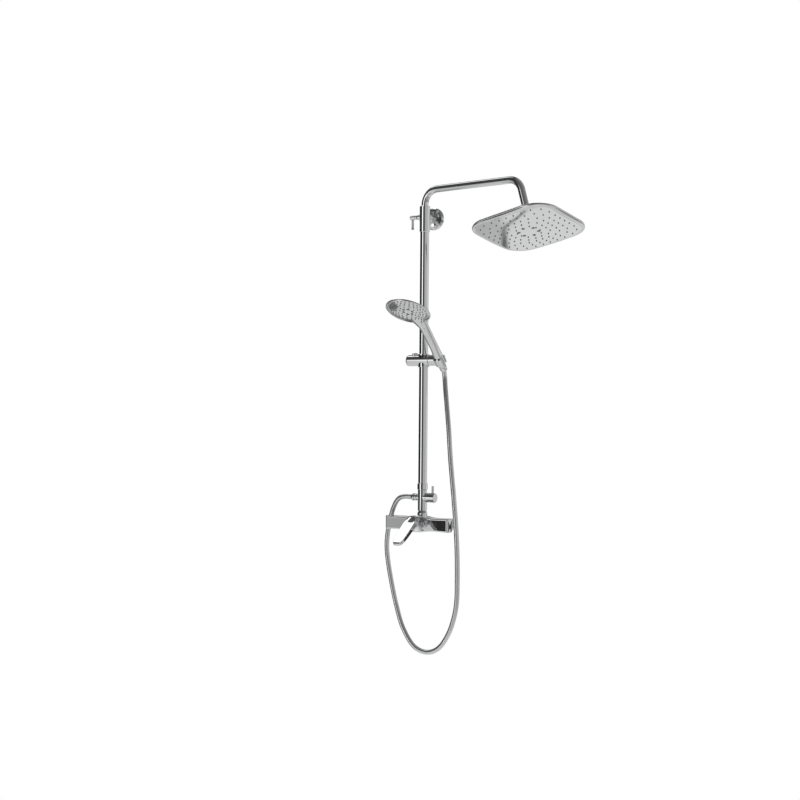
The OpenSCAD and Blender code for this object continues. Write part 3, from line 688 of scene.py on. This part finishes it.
to_lever = np.array(LEVER.inverted() @ HUB, float)
centre = to_lever[:3, :3] @ np.array([0, 0, 49.5]) + to_lever[:3, 3]
across_axis = np.array([0, 1, 0])
up_axis = np.cross(to_lever[:3, :3] @ np.array([0, 0, 1]), across_axis)
up_axis = up_axis / np.linalg.norm(up_axis) * (1 if up_axis[2] > 0 else -1)
far = paddle_ring(15, 34.2, -13.0, 0, 0.2)
circle = []
for x, v, w in far:
    a = math.atan2((w + 6.5) * 2.4, v)
    circle.append(tuple(centre + 18.2 * math.cos(a) * across_axis + 18.2 * math.sin(a) * up_axis))
rows = [circle]
for t in (0.2, 0.4, 0.6, 0.8):
    e = t * t * (3 - 2 * t)
    rows.append([tuple((1 - e) * np.array(c) + e * np.array(f) +
                       np.array([(t - e) * 6, 0, 0])) for c, f in zip(circle, far)])
rows.append(far)
for x, width, low, high, crown in ((24, 34.4, -12.8, 0.0, 0.2), (36, 34.2, -12.6, 0, 0.25),
                                   (50, 33.6, -12.2, -0.1, 0.25), (64, 32.6, -11.7, -0.25, 0.25),
                                   (76, 31.0, -11.0, -0.3, 0.25), (84, 28.4, -10.4, -0.4, 0.2),
                                   (89.5, 24.6, -9.9, -0.55, 0.2), (93, 19.5, -9.3, -0.8, 0.2),
                                   (95, 13.5, -8.6, -1.4, 0.1), (96, 7.0, -7.6, -3.0, 0)):
    rows.append(paddle_ring(x, width, low, high, crown))
paddle = mesh_piece("lever_paddle", *loft(rows), LEVER, angle=50)
dress(paddle, "chrome_zinc")
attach(paddle, "lever")
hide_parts("lever_handle")

# ---- nuts ----------------------------------------------------------------------------


def fluting(count, depth, low, high):
    def f(a, r, z):
        if low < z < high and r > 9:
            return r - depth * (0.5 + 0.5 * math.cos(count * a)) ** 3
        return r
    return f


nut = soft_corner([(9.95, 16), (10.9, 16.1), (12.2, 18.4), (13.1, 21.5), (13.4, 25), (13.1, 28.5),
                   (12.1, 31.8), (10.4, 34.9), (8.95, 34.9), (8.95, 31), (9.95, 30.6)], 0.5, 2)
column_nut = mesh_piece("column_nut_fluted",
                        *lathe(nut, sides=144, flute=fluting(18, 0.15, 17.5, 33)), RISER, angle=50)
dress(column_nut, "chrome_brass")
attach(column_nut, "column")
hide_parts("column_nut")

OUTLET = tr(0, -52, 70) @ AXIS_MINUS_X
ferrule = [(8.4, 14.6), (9.3, 15.2), (9.5, 17), (9.2, 19), (8.3, 20.1), (8.1, 21), (8.8, 21.9),
           (9.7, 23.3), (10.2, 25), (10.3, 26.8), (10.0, 28.6), (9.3, 30.3), (8.3, 31.7),
           (7.3, 32.8), (6.6, 33), (6.6, 28.2), (5.7, 27.4), (5.7, 16), (8.4, 16)]
lower_nut = mesh_piece("hose_nut_lower_ringed",
                       *lathe(ferrule, sides=120, flute=fluting(14, 0.12, 23.9, 31)), OUTLET, angle=50)
dress(lower_nut, "chrome_brass")
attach(lower_nut, "column")

# ---- slider --------------------------------------------------------------------------

SLIDER = tr(0, -52, 440)


def turned(name, profile, matrix, sides=72):
    """A plain turned solid that is used up by a boolean."""
    return mesh_piece(name, *lathe([(0, profile[0][1])] + profile + [(0, profile[-1][1])], sides),
                      matrix)


def combine(target, tool, operation):
    """Applies one boolean to the target's mesh and deletes the tool."""
    modifier = target.modifiers.new("cut", "BOOLEAN")
    modifier.operation = operation
    modifier.solver = "EXACT"
    modifier.object = tool
    depsgraph = bpy.context.evaluated_depsgraph_get()
    mesh = bpy.data.meshes.new_from_object(target.evaluated_get(depsgraph))
    target.modifiers.clear()
    target.data = mesh
    bpy.data.objects.remove(tool)


barrel = turned("slider_barrel", [(14.2, 0), (15.0, 0.8), (15.0, 64.2), (14.4, 65)],
                SLIDER @ tr(19.7, 0, 0) @ AXIS_MINUS_X)
combine(barrel, turned("collar_low", [(14.2, -18), (14.7, -17.4), (14.7, -6)], SLIDER), "UNION")
combine(barrel, turned("collar_high", [(15.5, 13.8), (15.5, 16.8), (14.8, 17.5)], SLIDER), "UNION")
combine(barrel, turned("boss", [(9.2, 10), (9.2, 15.4), (8.6, 16)], SLIDER @ tr(-27, 0, 0)), "UNION")
combine(barrel, turned("bore", [(13.95, -30), (13.95, 30)], SLIDER), "DIFFERENCE")
combine(barrel, turned("pocket", [(7.7, 2), (7.7, 30)], SLIDER @ tr(-27, 0, 0)), "DIFFERENCE")
combine(barrel, turned("seat", [(8.05, 15.1), (8.05, 24)], SLIDER @ AXIS_X), "DIFFERENCE")
for poly in barrel.data.polygons:
    poly.use_smooth = True
barrel.data.set_sharp_from_angle(angle=math.radians(30))
dress(barrel, "chromed_plastic")
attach(barrel, "slider")
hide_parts("slider_body")
bush = mesh_piece("slider_bush_ring", *lathe([(12.35, -17.6), (13.85, -17.6), (13.85, 15.2),
                                              (12.35, 15.2)], sides=72), SLIDER, angle=35)
dress(bush, SLOT["slider_bush"])
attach(bush, "slider_guide")
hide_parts("slider_bush")


# ---- floor, studio and world ---------------------------------------------------------

floor_mat, floor_nt, floor_bsdf, floor_link = node_tree("pale_floor")
floor_noise = floor_nt.nodes.new("ShaderNodeTexNoise")
floor_noise.inputs["Scale"].default_value = 3
floor_ramp = floor_nt.nodes.new("ShaderNodeMix")
floor_ramp.data_type = "RGBA"
floor_link.new(floor_noise.outputs["Fac"], floor_ramp.inputs["Factor"])
floor_ramp.inputs["A"].default_value = (0.9, 0.9, 0.9, 1)
floor_ramp.inputs["B"].default_value = (0.93, 0.93, 0.93, 1)
floor_link.new(floor_ramp.outputs["Result"], floor_bsdf.inputs["Base Color"])
floor_bsdf.inputs["Roughness"].default_value = 0.9
floor_bsdf.inputs["Emission Color"].default_value = (1, 1, 1, 1)
floor_bsdf.inputs["Emission Strength"].default_value = 0.42
FLOOR_SIDE, FLOOR_LEVEL = 3, -1.45
bpy.ops.mesh.primitive_plane_add(size=FLOOR_SIDE, location=(0, 0, FLOOR_LEVEL))
floor = bpy.context.object
floor.name = "floor"
floor.data.materials.append(floor_mat)


world = bpy.data.worlds.new("studio")
scene.world = world
world.use_nodes = True
wt = world.node_tree
wt.nodes.clear()
wn, wl = wt.nodes.new, wt.links


def math_node(op, a, b=None, c=None):
    n = wn("ShaderNodeMath")
    n.operation = op
    for i, v in enumerate((a, b, c)):
        if v is None:
            continue
        if hasattr(v, "is_output"):
            wl.new(v, n.inputs[i])
        else:
            n.inputs[i].default_value = v
    return n.outputs[0]


def band(value, centre, half, soft):
    """1 inside centre +- half, falling to 0 over soft."""
    d = math_node("ABSOLUTE", math_node("SUBTRACT", value, centre))
    n = wn("ShaderNodeMapRange")
    n.interpolation_type = "SMOOTHSTEP"
    wl.new(d, n.inputs["Value"])
    n.inputs["From Min"].default_value = half
    n.inputs["From Max"].default_value = half + soft
    n.inputs["To Min"].default_value = 1
    n.inputs["To Max"].default_value = 0
    return n.outputs["Result"]


coord = wn("ShaderNodeTexCoord")
split = wn("ShaderNodeSeparateXYZ")
wl.new(coord.outputs["Generated"], split.inputs["Vector"])
vx, vy, vz = split.outputs
across = math_node("ADD", math_node("MULTIPLY", vx, right.x), math_node("MULTIPLY", vy, right.y))
toward = math_node("ADD", math_node("MULTIPLY", vx, back.x), math_node("MULTIPLY", vy, back.y))
turn = math_node("MULTIPLY", math_node("ARCTAN2", across, toward), 180 / math.pi)
lift = math_node("MULTIPLY", math_node("ARCSINE", vz), 180 / math.pi)


def ramp(value, low, high, stops):
    """A piecewise linear tone over value; stops are (value, tone) with tones up to 2."""
    place = wn("ShaderNodeMapRange")
    wl.new(value, place.inputs["Value"])
    place.inputs["From Min"].default_value = low
    place.inputs["From Max"].default_value = high
    node = wn("ShaderNodeValToRGB")
    elements = node.color_ramp.elements
    while len(elements) > 1:
        elements.remove(elements[-1])
    for i, (v, tone) in enumerate(stops):
        e = elements[0] if i == 0 else elements.new((v - low) / (high - low))
        e.position = (v - low) / (high - low)
        e.color = (tone / 2, tone / 2, tone / 2, 1)
    wl.new(place.outputs["Result"], node.inputs["Fac"])
    return math_node("MULTIPLY", node.outputs["Color"], 2)


def blend_to(base, mask, tone):
    """base where mask is 0, tone where it is 1."""
    keep = math_node("MULTIPLY", base, math_node("SUBTRACT", 1, mask))
    return math_node("ADD", keep, math_node("MULTIPLY", mask, tone))


# turn: 0 is behind the camera, negative to its left; lift: degrees above the horizon.
side = ramp(turn, -180, 180, [
    (-180, 0.52), (-170, 0.3), (-158, 0.02), (-68, 0.02), (-62, 1.3), (-45, 1.3), (-39, 0.03),
    (-10, 0.05), (4, 0.3), (14, 0.44), (60, 0.48), (100, 0.66), (140, 0.5), (165, 0.5), (180, 0.52)])
sky = ramp(turn, -180, 180, [
    (-180, 0.1), (-120, 0.1), (-60, 0.04), (-40, 0.1), (0, 0.12), (60, 0.2), (120, 0.3), (180, 0.1)])
ground = ramp(turn, -180, 180, [
    (-180, 0.48), (-170, 0.6), (-162.5, 0.64), (-160, 0.24), (-157, 0.14), (-140, 0.3), (-120, 0.28),
    (-95, 0.5), (-60, 0.62), (-20, 0.34), (20, 0.3), (90, 0.42), (140, 0.6), (160, 0.74),
    (174.5, 0.74), (175.2, 0.54), (180, 0.48)])
tone = blend_to(side, band(lift, 60, 42, 8), sky)
tone = blend_to(tone, band(lift, -55, 33, 10), ground)

# A soft light high on the left lights the lever, and a flag on the right darkens its side.
lamp = math_node("MULTIPLY", band(lift, 57, 14, 6), band(turn, -137, 12, 6))
tone = blend_to(tone, lamp, 1.35)

# Two flags beside the camera give the mixer's front its light and its dark half.
low_band = band(lift, -7.4, 2.3, 0.7)
tone = blend_to(tone, math_node("MULTIPLY", low_band, band(turn, -75, 11.9, 0.4)), 0.36)
tone = blend_to(tone, math_node("MULTIPLY", low_band, band(turn, -59.4, 3.4, 0.4)), 0.02)
tone = blend_to(tone, math_node("MULTIPLY", band(lift, -9.3, 3.7, 0.5), band(turn, 117, 16, 5)), 0.03)

# A bent dark flag behind the column shows as a curve in the spray plate.
bend = wn("ShaderNodeMapRange")
bend.interpolation_type = "SMOOTHSTEP"
wl.new(lift, bend.inputs["Value"])
bend.inputs["From Min"].default_value = -56
bend.inputs["From Max"].default_value = -41
bend.inputs["To Min"].default_value = 167.5
bend.inputs["To Max"].default_value = 174.9
curve_mask = band(math_node("SUBTRACT", turn, bend.outputs["Result"]), 0, 0.15, 0.55)
tone = blend_to(tone, math_node("MULTIPLY", curve_mask, band(lift, -42, 17, 3)), 0.1)

studio = wn("ShaderNodeBackground")
grey = wn("ShaderNodeCombineColor")
for i in range(3):
    wl.new(tone, grey.inputs[i])
wl.new(grey.outputs["Color"], studio.inputs["Color"])
studio.inputs["Strength"].default_value = 1.0
white = wn("ShaderNodeBackground")
white.inputs["Color"].default_value = (1, 1, 1, 1)
white.inputs["Strength"].default_value = 1.0
path_node = wn("ShaderNodeLightPath")
mix = wn("ShaderNodeMixShader")
wl.new(path_node.outputs["Is Camera Ray"], mix.inputs["Fac"])
wl.new(studio.outputs["Background"], mix.inputs[1])
wl.new(white.outputs["Background"], mix.inputs[2])
out = wn("ShaderNodeOutputWorld")
wl.new(mix.outputs["Shader"], out.inputs["Surface"])
scene.view_settings.view_transform = "Standard"
scene.view_settings.look = "None"
